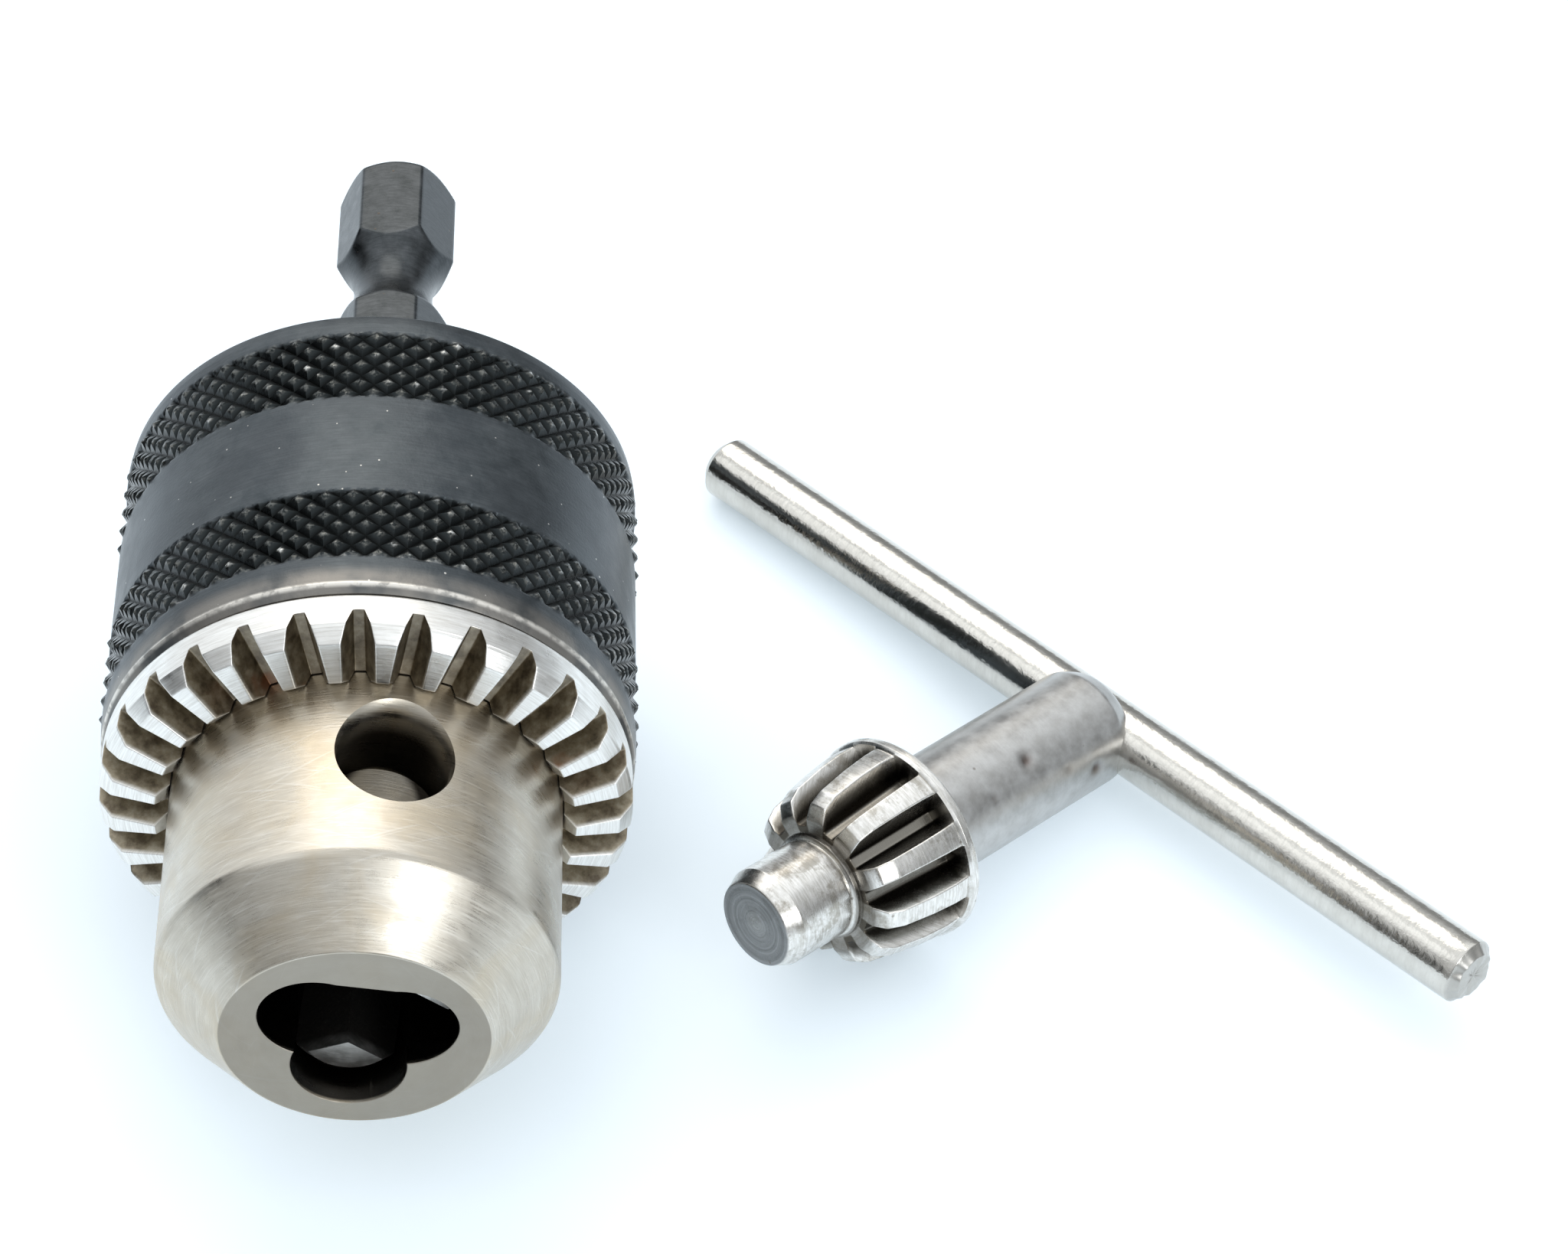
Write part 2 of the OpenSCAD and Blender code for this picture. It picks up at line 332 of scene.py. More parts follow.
    def brushed_round(self, axis):
        """Points the highlight's stretch across marks that run round an axis."""
        normal = self.node("NewGeometry").outputs["Normal"]
        cross = self.node("VectorMath", operation="CROSS_PRODUCT")
        cross.inputs[0].default_value = axis
        self.put(normal, cross.inputs[1])
        unit = self.node("VectorMath", operation="NORMALIZE")
        self.put(cross.outputs[0], unit.inputs[0])
        self.put(unit.outputs[0], self.shader.inputs["Tangent"])

    def scuffs(self, u, v, turn, low=0.66, high=0.72):
        """Short thin marks that run at one angle over a surface with coordinates u and v in mm."""
        c, s = math.cos(turn), math.sin(turn)
        along = self.plus(self.times(u, 0.16 * c), self.times(v, 0.16 * s))
        across = self.math("SUBTRACT", self.times(v, 5.0 * c), self.times(u, 5.0 * s))
        return self.span(self.noise(self.vector(along, across, turn), 1.0, detail=1.0), low, high)

    def bump(self, height, depth_mm, under=None, strength=1.0):
        made = self.node("Bump")
        made.inputs["Strength"].default_value = strength
        made.inputs["Distance"].default_value = depth_mm * MM
        self.put(height, made.inputs["Height"])
        if under is not None:
            self.put(under, made.inputs["Normal"])
        return made.outputs[0]


def turned_lines(p, x, y, z, across, along=0.06, fine=9.0):
    """Noise drawn out round the Y axis, the marks that a lathe tool or emery leaves."""
    travel = p.plus(y, p.radius(x, z))
    where = p.vector(p.times(x, along), p.times(travel, across), p.times(z, along))
    return p.noise(where, fine, detail=4.0, rough=0.65)


def body_steel():
    """Warm ground steel: marks round it, stains, a duller nose face, and painted shade in its openings."""
    p = Paint("body_steel", metallic=1.0, Anisotropic=0.55)
    x, y, z = p.place()
    spot = p.vector(x, y, z)
    radius = p.radius(x, z)
    round_it = p.times(p.math("ARCTAN2", x, z), 10.0)
    travel = p.plus(y, radius)
    lines = turned_lines(p, x, y, z, 1.0)
    broad = turned_lines(p, x, y, z, 0.25, along=0.05, fine=3.0)
    stain = p.noise(spot, 0.13, detail=4.0, rough=0.6, distort=0.6)
    mottle = p.noise(spot, 0.8, detail=5.0, rough=0.6)
    steel = p.ramp(broad, (0.30, (0.50, 0.455, 0.385)), (0.70, (0.63, 0.59, 0.52)))
    steel = p.mix(p.ramp(stain, (0.46, 0.0), (0.66, 0.65)), steel, (0.53, 0.44, 0.31))
    steel = p.mix(p.ramp(lines, (0.36, 0.28), (0.58, 0.0)), steel, (0.33, 0.30, 0.255))
    steel = p.mix(p.ramp(lines, (0.55, 0.0), (0.72, 0.35)), steel, (0.76, 0.74, 0.70))
    crossing = p.scuffs(round_it, travel, -0.35, 0.69, 0.74)
    marks = p.math("MAXIMUM", p.scuffs(round_it, travel, 0.5), crossing)
    steel = p.mix(p.times(marks, 0.18), steel, (0.80, 0.79, 0.76))
    # the flat nose face
    on_face = p.span(radius, NOSE_R - 0.02, NOSE_R - 0.10)
    face = p.times(p.span(y, 0.02, 0.09, 1.0, 0.0), on_face)
    steel = p.mix(p.times(face, 0.85), steel, (0.29, 0.262, 0.22))
    # painted shade on the walls and the floor of the key holes, less of it on the floor
    floor = p.span(radius, KEY_HOLE_FLOOR, KEY_HOLE_FLOOR + 0.3, 0.45, 1.0)
    deep = p.times(floor, p.span(radius, BODY_R - 2.4, BODY_R - 0.5, 1.0, 0.0))
    # the painted shade stops short of the turned back face, which stays bright
    front = p.span(y, *BRIGHT_BACK, 1.0, 0.0)
    key_hole_shade = p.times(p.times(p.span(y, CONE_Y - 0.2, CONE_Y + 0.6), front), deep)
    # painted shade in the jaw bores and the passage, where the radius less the cone's rise is small
    rise = p.times(p.math("MINIMUM", y, CONE_Y), (BODY_R - NOSE_R) / CONE_Y)
    inner = p.span(p.math("SUBTRACT", radius, rise), *BORE_SHADE, 1.0, 0.0)
    bore_shade = p.times(inner, p.span(y, 0.04, 0.30))
    beside = p.math("ABSOLUTE", p.math("SUBTRACT", y, KEY_HOLE_Y))
    bore_shade = p.times(bore_shade, p.span(beside, KEY_HOLE_R, KEY_HOLE_R + 0.8))
    bore_shade = p.times(bore_shade, front)
    # painted shade: the key holes and the bores are coloured nearly black
    steel = p.mix(p.times(key_hole_shade, 0.98), steel, (0.014, 0.011, 0.008))
    steel = p.mix(p.times(bore_shade, 0.97), steel, (0.022, 0.02, 0.018))
    p.to("Base Color", steel)
    rough = p.plus(p.span(mottle, 0.3, 0.7, 0.27, 0.36), p.span(lines, 0.3, 0.7, -0.04, 0.04))
    p.to("Roughness", p.plus(rough, p.times(face, 0.12)))
    p.to("Normal", p.bump(mottle, 0.003, p.bump(lines, 0.009)))
    p.brushed_round((0, 1, 0))
    return p.material


def ring_steel():
    """Bright turned lands, and flanks darkened with old oil, a little rust and painted shade."""
    p = Paint("ring_steel", metallic=1.0)
    x, y, z = p.place()
    spot = p.vector(x, y, z)
    lines = turned_lines(p, x, y, z, 1.0)
    mottle = p.noise(spot, 1.3, detail=5.0, rough=0.62)
    flank = p.fac("flank")
    land = p.ramp(lines, (0.35, (0.68, 0.66, 0.625)), (0.62, (0.86, 0.85, 0.825)))
    oil_and_shade = p.ramp(
        mottle, (0.35, (0.13, 0.10, 0.065)), (0.52, (0.28, 0.235, 0.165)), (0.70, (0.45, 0.40, 0.31)))
    rust = p.times(p.span(p.noise(spot, 0.22, detail=3.0), 0.60, 0.70), 0.8)
    oil_and_shade = p.mix(rust, oil_and_shade, (0.26, 0.10, 0.035))
    # the flanks are darkened with oil and rust and with painted shade; the lands stay bright
    share = p.times(p.span(flank, 0.15, 0.85), 0.95)
    p.to("Base Color", p.mix(share, land, oil_and_shade))
    p.to("Roughness", p.plus(p.span(mottle, 0.3, 0.7, 0.27, 0.38), p.times(flank, 0.1)))
    p.to("Normal", p.bump(mottle, 0.012, p.bump(lines, 0.006)))
    return p.material


def black_oxide():
    """Blackened steel with polished knurl crests, painted highlights (glints) on some of them, grooves
    darkened nearly to black, and a worn front edge.
    """
    p = Paint("sleeve_black", metallic=0.9)
    x, y, z = p.place()
    spot = p.vector(x, y, z)
    knurl = p.fac("knurl")
    in_band = p.fac("band")
    lines = turned_lines(p, x, y, z, 1.2)
    mottle = p.noise(spot, 0.7, detail=5.0, rough=0.6)
    specks = p.noise(spot, 5.5, detail=2.0, rough=0.5)
    oxide = p.ramp(mottle, (0.3, (0.056, 0.066, 0.073)), (0.7, (0.115, 0.127, 0.136)))
    cloud = p.noise(spot, 0.19, detail=3.0, rough=0.5)
    oxide = p.mix(p.span(cloud, 0.42, 0.62, 0.0, 0.5), oxide, (0.055, 0.062, 0.07))
    oxide = p.mix(p.ramp(lines, (0.4, 0.35), (0.62, 0.0)), oxide, (0.045, 0.05, 0.055))
    oxide = p.mix(p.times(in_band, 0.85), oxide, (0.012, 0.015, 0.015))
    # crests of the knurl are polished by hands and some carry a painted highlight (glint); its grooves are
    # darkened nearly to black
    crest = p.times(p.span(knurl, 0.42, 0.88), p.span(specks, 0.36, 0.64))
    patches = p.span(p.noise(spot, 0.9, detail=4.0), 0.56, 0.66)
    glint = p.times(p.span(knurl, 0.60, 0.90), patches)
    groove = p.span(knurl, 0.02, 0.45, 1.0, 0.0)
    for where, share, colour in (
        (groove, 0.85, (0.006, 0.007, 0.007)), (crest, 0.70, (0.21, 0.21, 0.195)),
        (glint, 0.85, (0.62, 0.62, 0.60)),
    ):
        oxide = p.mix(p.times(in_band, p.times(where, share)), oxide, colour)
    # the front margin has lost some of its black, and its edge all of it in places
    margin = p.span(y, SPIGOT_SEAT - 1.1, SPIGOT_SEAT, 1.0, 0.0)
    bronze = p.times(margin, p.span(p.noise(spot, 0.35), 0.35, 0.6, 0.2, 0.75))
    oxide = p.mix(bronze, oxide, (0.27, 0.25, 0.225))
    edge = p.times(p.span(y, 18.70, 18.92), p.span(y, 18.95, 19.15, 1.0, 0.0))
    worn = p.times(edge, p.span(p.noise(spot, 1.6), 0.38, 0.55, 0.45, 1.0))
    oxide = p.mix(p.times(worn, 0.9), oxide, (0.80, 0.76, 0.70))
    small = p.span(p.cells(spot, 0.9), 0.06, 0.035)
    nick = p.math("MAXIMUM", p.span(p.cells(spot, 0.42), 0.035, 0.02), small)
    nick = p.times(nick, p.span(knurl, 0.3, 0.9))
    oxide = p.mix(p.times(nick, 0.9), oxide, (0.62, 0.60, 0.57))
    p.to("Base Color", oxide)
    rough = p.span(mottle, 0.3, 0.7, 0.33, 0.44)
    p.to("Roughness", p.math("SUBTRACT", rough, p.times(in_band, 0.08)))
    p.to("Normal", p.bump(specks, 0.010, p.bump(lines, 0.004)))
    return p.material


def pitted_steel(p, x, y, z, travel, mottle_scale, pit_scale):
    """Noises that the grey steels share: the place itself, turned lines, mottle and pits."""
    where = p.vector(p.times(x, 0.15), travel, p.times(z, 0.15))
    lines = p.noise(where, 8.0, detail=4.0, rough=0.65)
    spot = p.vector(x, y, z)
    mottle = p.noise(spot, mottle_scale, detail=6.0, rough=0.65)
    return spot, lines, mottle, p.cells(spot, pit_scale)


def dark_steel(name, low, high, rough, shaded_from=None):
    """Hardened grey steel; its marks run round the chuck axis, and painted shade may start at some y."""
    p = Paint(name, metallic=1.0)
    x, y, z = p.place()
    travel = p.plus(y, p.radius(x, z))
    spot, lines, mottle, pits = pitted_steel(p, x, y, z, travel, 1.1, 0.75)
    colour = p.ramp(mottle, (0.32, low), (0.68, high))
    colour = p.mix(p.ramp(lines, (0.38, 0.35), (0.6, 0.0)), colour, tuple(0.55 * c for c in low))
    colour = p.mix(p.span(pits, 0.04, 0.09, 0.6, 0.0), colour, (0.10, 0.075, 0.055))
    if shaded_from is not None:
        # painted shade down the jaws' sides behind their front ends, inside the bores, made to look like oil
        oil_and_shade = p.times(p.span(y, shaded_from, shaded_from + 0.6), p.span(mottle, 0.3, 0.6, 0.6, 0.9))
        colour = p.mix(oil_and_shade, colour, (0.07, 0.06, 0.05))
    p.to("Base Color", colour)
    p.to("Roughness", p.span(mottle, 0.3, 0.7, rough - 0.05, rough + 0.07))
    height = p.bump(p.span(pits, 0.03, 0.09), 0.008, p.bump(lines, 0.005))
    p.to("Normal", p.bump(mottle, 0.004, height))
    return p.material


def key_steel(own_axes):
    """Turned key steel: dull shank, polished tooth lands, painted shade and light in the tooth spaces, and a
    grey pilot end.
    """
    p = Paint("key_steel", metallic=1.0)
    x, y, z = p.place(own_axes)
    s = p.times(y, -1.0)
    radius = p.radius(x, z)
    travel = p.plus(s, radius)
    spot, lines, mottle, pits = pitted_steel(p, x, y, z, travel, 1.0, 0.6)
    gap = p.fac("gap")
    shank = p.ramp(mottle, (0.35, (0.43, 0.42, 0.405)), (0.65, (0.55, 0.545, 0.535)))
    bright = p.ramp(lines, (0.35, (0.58, 0.56, 0.52)), (0.62, (0.82, 0.80, 0.77)))
    colour = p.mix(p.span(s, *POLISHED_FROM), shank, bright)
    # old grease clouds the lands and the pilot
    clouds = p.noise(spot, 0.55, detail=5.0, rough=0.7)
    grease = p.times(p.span(s, PINION_S + 0.04, PINION_S + 0.44), p.span(clouds, 0.50, 0.64, 0.0, 0.65))
    colour = p.mix(grease, colour, (0.27, 0.24, 0.19))
    # painted shade on the flanks and deeper at their feet, and painted light along the middle of each floor,
    # where light gets in
    for low, high, share, shade in (
        (0.05, 0.55, 0.8, (0.11, 0.10, 0.082)), (0.5, 1.0, 0.9, (0.03, 0.026, 0.021)),
        (1.1, 1.9, 0.8, (0.30, 0.28, 0.245)),
    ):
        colour = p.mix(p.times(p.span(gap, low, high), share), colour, shade)
    # painted shade in the corner where the pinion's end face meets the pilot
    pilot_foot_shade = p.times(p.span(s, PINION_END - 0.25, PINION_END + 0.05), p.span(radius, 3.0, 3.15))
    colour = p.mix(p.times(pilot_foot_shade, 0.7), colour, (0.10, 0.085, 0.065))
    end = p.times(p.span(s, 28.25, 28.4), p.span(radius, 2.62, 2.5, 0.0, 1.0))
    rings = p.noise(p.vector(0.0, radius, 0.0), 2.6, detail=4.0, rough=0.7)
    faced = p.ramp(rings, (0.36, (0.09, 0.095, 0.10)), (0.64, (0.23, 0.235, 0.24)))
    colour = p.mix(p.times(end, 0.85), colour, faced)
    colour = p.mix(p.span(pits, 0.035, 0.07, 0.5, 0.0), colour, (0.13, 0.10, 0.075))
    colour = p.mix(p.times(p.fac("dent"), 0.8), colour, (0.09, 0.05, 0.035))
    p.to("Base Color", colour)
    rough = p.plus(p.span(mottle, 0.3, 0.7, 0.28, 0.40), p.span(s, *POLISHED_FROM, 0.02, -0.08))
    p.to("Roughness", rough)
    height = p.bump(p.span(pits, 0.03, 0.08), 0.006, p.bump(lines, 0.006))
    p.to("Normal", p.bump(mottle, 0.004, height))
    return p.material


def bar_steel(own_axes):
    """Polished rod with faint marks round it and rougher sheared ends."""
    p = Paint("bar_steel", metallic=1.0)
    x, y, z = p.place(own_axes)
    spot = p.vector(x, y, z)
    where = p.vector(x, p.times(y, 0.2), p.times(z, 0.2))
    lines = p.noise(where, 6.0, detail=4.0, rough=0.65)
    mottle = p.noise(spot, 0.7, detail=5.0, rough=0.6)
    colour = p.ramp(mottle, (0.3, (0.56, 0.535, 0.49)), (0.7, (0.66, 0.635, 0.59)))
    colour = p.mix(p.ramp(lines, (0.36, 0.25), (0.55, 0.0)), colour, (0.46, 0.44, 0.40))
    far = p.span(x, BAR_START + 0.7, BAR_START + 0.4)
    ends = p.math("MAXIMUM", p.span(x, BAR_END - 0.75, BAR_END - 0.45), far)
    colour = p.mix(p.times(ends, 0.55), colour, (0.34, 0.33, 0.31))
    p.to("Base Color", colour)
    p.to("Roughness", p.plus(p.span(mottle, 0.3, 0.7, 0.11, 0.16), p.times(ends, 0.18)))
    # rough normals at the ends, smooth ones between
    mix = p.node("Mix", data_type="VECTOR")
    smooth, rough = [socket for socket in mix.inputs if socket.type == "VECTOR"][:2]
    p.put(ends, mix.inputs["Factor"])
    p.put(p.bump(mottle, 0.002, p.bump(lines, 0.0025)), smooth)
    p.put(p.bump(p.noise(spot, 2.4, detail=4.0), 0.05, strength=0.5), rough)
    p.to("Normal", [socket for socket in mix.outputs if socket.type == "VECTOR"][0])
    return p.material


# ---------------------------------------------------------------- chuck body

def loft(sections):
    """Closed solid through sections that have the same number of points, with flat ends."""
    count, rows = len(sections[0]), len(sections)
    points = np.stack(sections, 1).reshape(-1, 3)
    faces = grid_faces(count, rows).tolist()
    faces.append([i * rows for i in reversed(range(count))])
    faces.append([i * rows + rows - 1 for i in range(count)])
    return points, faces


def facing_out(mesh):
    """Turns a closed mesh right side out."""
    co = np.empty(len(mesh.vertices) * 3)
    mesh.vertices.foreach_get("co", co)
    co = co.reshape(-1, 3)
    mesh.calc_loop_triangles()
    tris = np.array([t.vertices[:] for t in mesh.loop_triangles])
    a, b, c = co[tris[:, 0]], co[tris[:, 1]], co[tris[:, 2]]
    if np.einsum("ij,ij->i", a, np.cross(b, c)).sum() < 0:
        mesh.flip_normals()
    return mesh


def solid(points, faces):
    """A solid that takes part in the boolean cuts and is removed after them."""
    return linked("cutter", facing_out(new_mesh("cutter", points, faces)))


def disc(centre, u, v):
    """Points of an ellipse from its centre and its two half axes."""
    angles = circle(BORE_POINTS)
    return np.asarray(centre) + np.outer(np.cos(angles), u) + np.outer(np.sin(angles), v)


def outward(turn):
    """Directions away from the axis and round it, at a turn in radians from straight up."""
    return np.array([math.sin(turn), 0, math.cos(turn)]), np.array([math.cos(turn), 0, -math.sin(turn)])


def bore_cutters(turn):
    """Round bore on its own slope, and its slightly flared mouth at the nose face."""
    out, side = outward(turn)
    axis = AHEAD * math.cos(SLOPE) + out * math.sin(SLOPE)
    across = out * math.cos(SLOPE) - AHEAD * math.sin(SLOPE)
    start = out * BORE_OFFSET
    ends = [disc(start + axis * h, across * BORE_R, side * BORE_R) for h in BORE_ENDS]
    mouth = []
    for y, grow in NOSE_EDGE:
        centre = out * (BORE_OFFSET + y * math.tan(SLOPE)) + AHEAD * y
        mouth.append(disc(centre, out * (BORE_R + grow) / math.cos(SLOPE), side * (BORE_R + grow)))
    return [solid(*loft(ends)), solid(*loft(mouth))]


def key_hole_cutter(turn):
    """Blind pilot hole square to the axis, its mouth opened by a worn countersink."""
    out, side = outward(turn)
    rim = BODY_R - KEY_HOLE_MOUTH
    line = rounded([
        (0.3, KEY_HOLE_FLOOR - 1.0, 0), (KEY_HOLE_R, KEY_HOLE_FLOOR, 0), (KEY_HOLE_R, rim, KEY_HOLE_LIP),
        (KEY_HOLE_R + KEY_HOLE_LIP, rim + KEY_HOLE_LIP, 0),
    ], steps=7)
    return solid(*loft([disc(out * h + AHEAD * KEY_HOLE_Y, side * r, AHEAD * r) for r, h in line]))


def web_cutter():
    """Square notch where the thin web between the two upper bores has broken out."""
    out, side = outward(math.radians(BODY_TURN))
    ends = []
    for y, grow in (*NOSE_EDGE, (WEB_DEPTH, 0.0)):
        half, edge = WEB_HALF + grow / 2, WEB_EDGE + grow
        corners = ((WEB_INNER, -half), (edge, -half), (edge, half), (WEB_INNER, half))
        ends.append(np.array([out * a + side * b + AHEAD * y for a, b in corners]))
    return solid(*loft(ends))


def make_body(material):
    """Turned body with its nut groove and socket, cut by the bores, key holes and missing web."""
    front, back = NUT_FRONT - NUT_PLAY, NUT_BACK + NUT_PLAY
    outline = spaced(rounded([
        (THROAT_R, 0, 0), (NOSE_R, 0, 0.16), (BODY_R, CONE_Y, 0.9), (BODY_R, front, 0),
        (GROOVE_FRONT_R, front, 0), (GROOVE_BACK_R, back, 0), (REAR_R, back, 0),
        (REAR_R, BODY_END - 0.5, 0.1), (REAR_R - 0.5, BODY_END, 0.1), (SOCKET_R + 0.45, BODY_END, 0.05),
        (SOCKET_R, BODY_END - 0.4, 0), (SOCKET_R, SOCKET_FLOOR, 0), (THROAT_R, SOCKET_FLOOR, 0),
    ], steps=6), 2.0)
    points = around_chuck(outline[None, :, 0], outline[None, :, 1], circle(BODY_COLUMNS)[:, None])
    body = solid(points.reshape(-1, 3), grid_faces(BODY_COLUMNS, len(outline), wrap_rows=True))
    cuts = [web_cutter()]
    for k in range(3):
        cuts += bore_cutters(math.radians(BODY_TURN + 60 + 120 * k))
        cuts.append(key_hole_cutter(math.radians(BODY_TURN + KEY_HOLE_TURN + 120 * k)))
    for cut in cuts:
        change = body.modifiers.new("cut", "BOOLEAN")
        change.operation, change.solver, change.object = "DIFFERENCE", "MANIFOLD", cut
    bpy.context.view_layer.update()
    shape = body.evaluated_get(bpy.context.evaluated_depsgraph_get())
    mesh = bpy.data.meshes.new_from_object(shape)
    for piece in [body, *cuts]:
        bpy.data.objects.remove(piece)
    mesh.name = "chuck_body_turned"
    mesh.shade_smooth()
    mesh.set_sharp_from_angle(angle=math.radians(28))
    show("chuck_body_turned", mesh, "chuck_body", "body", material)


# ---------------------------------------------------------------- sleeve with knurled bands

def tent(k):
    """Height of the knurl from 0 to 1 and back over each of its cells."""
    share = (k / KNURL_CELLS) % 1.0
    return 1 - np.abs(2 * share - 1)


def knurled_faces(quads, rows, first, side_rows):
    """Splits each cell of the outside along the knurl's own groove lines."""
    column, row = quads[:, 0] // rows, quads[:, 0] % rows - first
    rising = (column + row + 1) % KNURL_CELLS == 0
    faces = []
    for quad, across, k in zip(quads.tolist(), rising.tolist(), row.tolist()):
        p0, p1, p2, p3 = quad
        if not 0 <= k < side_rows:
            faces.append(quad)
        elif across:
            faces += [[p0, p1, p3], [p1, p2, p3]]
        else:
            faces += [[p0, p1, p2], [p0, p2, p3]]
    return faces


def make_sleeve(material):
    """Turned sleeve; the pyramids of the diamond knurl are in its mesh, unevenly worn."""
    columns = KNURL_COUNT * KNURL_CELLS
    step = KNURL_ROW / KNURL_CELLS
    front = spaced(rounded([
        (SPIGOT_R, SLEEVE_FRONT, 0), (14.40, SLEEVE_FRONT, 0.05), (14.72, 18.95, 0.10),
        (BAND_R, SIDE_START, 0),
    ]), 0.5)
    rear = spaced(rounded([
        (BAND_R, SIDE_END, 0), (14.72, 39.55, 0.12), (14.3, SLEEVE_END, 0.15), (13.8, SLEEVE_END, 0.05),
        (CAVITY_R, 39.6, 0), (CAVITY_R, 22.1, 0), (NUT_R, 21.9, 0), (NUT_R, SPIGOT_SEAT, 0),
        (SPIGOT_R, SPIGOT_SEAT, 0),
    ]), 3.0)
    side_y = np.arange(SIDE_START + step, SIDE_END, step)
    side = np.stack([np.full(len(side_y), BAND_R), side_y], -1)
    profile = np.concatenate([front, side, rear])
    radius, y = profile[:, 0], profile[:, 1]
    rows, first, side_rows = len(profile), len(front), len(side_y)
    i, j = np.arange(columns), np.arange(rows) - first
    band = np.zeros(rows)
    for low, high in BANDS:
        up = np.clip((y - low) / KNURL_FADE, 0, 1) * np.clip((high - y) / KNURL_FADE, 0, 1)
        band = np.maximum(band, np.where((j >= 0) & (j < side_rows), up, 0))
    pyramid = np.minimum(tent(i[:, None] + j[None, :]), tent(i[:, None] - j[None, :]))
    # how high each half cell still stands
    wear = np.random.default_rng(KNURL_SEED).uniform(WEAR_LOW, WEAR_HIGH, (KNURL_COUNT * 2, WEAR_ROWS))
    wear_column = (2 * i[:, None] // KNURL_CELLS) % (KNURL_COUNT * 2)
    wear_row = (2 * np.clip(j, 0, None)[None, :] // KNURL_CELLS) % WEAR_ROWS
    pyramid = np.minimum(pyramid, wear[wear_column, wear_row]) / WEAR_HIGH
    rise = band[None, :] * (pyramid * (KNURL_DEEP + KNURL_PROUD) - KNURL_DEEP)
    points = around_chuck(radius[None, :] + rise, y[None, :], circle(columns)[:, None]).reshape(-1, 3)
    faces = knurled_faces(grid_faces(columns, rows, wrap_rows=True), rows, first, side_rows)
    mesh = facing_out(new_mesh("sleeve_knurled", points, faces))
    attribute(mesh, "knurl", np.where(band[None, :] > 0.5, pyramid, 0.8))
    attribute(mesh, "band", np.broadcast_to(band[None, :], pyramid.shape))
    mesh.set_sharp_from_angle(angle=math.radians(40))
    show("sleeve_knurled", mesh, "sleeve", "turning_sleeve", material)


# ---------------------------------------------------------------- gear cutting

def tooth_section(floor_half, deep, flank, half_pitch, corner, root):
    """Half of a tooth space from its middle to the middle of the land, as (across, height) points."""
    top = floor_half + deep * math.tan(flank)
    line = rounded([(0, 0, 0), (floor_half, 0, root), (top, deep, corner), (half_pitch, deep, 0)])
    # more points along the floor, the flank and the land, after these corners of the line
    splits = {0: 2, 5: 5, 10: 4}
    out = []
    for k, point in enumerate(line):
        out.append(point)
        n = splits.get(k, 1)
        out += [point + (line[k + 1] - point) * m / n for m in range(1, n)]
    return np.array(out)


def mirrored(half, sign=1):
    """A whole tooth space from its half, without its last column, which starts the next one."""
    return np.concatenate([sign * half[:0:-1], half[:-1]])


def all_teeth(turns, angle, *others):
    """The columns of one tooth space repeated at each of the turns, in radians."""
    angle = (turns[:, None, None] + angle[None]).reshape(-1, angle.shape[1])
    return [angle, *(np.tile(values, (len(turns), 1)) for values in others)]


class Rows:
    """Rows of a gear's grid; each value of a row is one number, or one for every column."""

    def __init__(self, count):
        self.count, self.rows = count, []

    def add(self, *values):
        self.rows.append([np.broadcast_to(np.asarray(v, float), (self.count,)) for v in values])

    def grids(self):
        """One array of columns and rows for each value."""
        return np.array(self.rows).transpose(1, 2, 0)


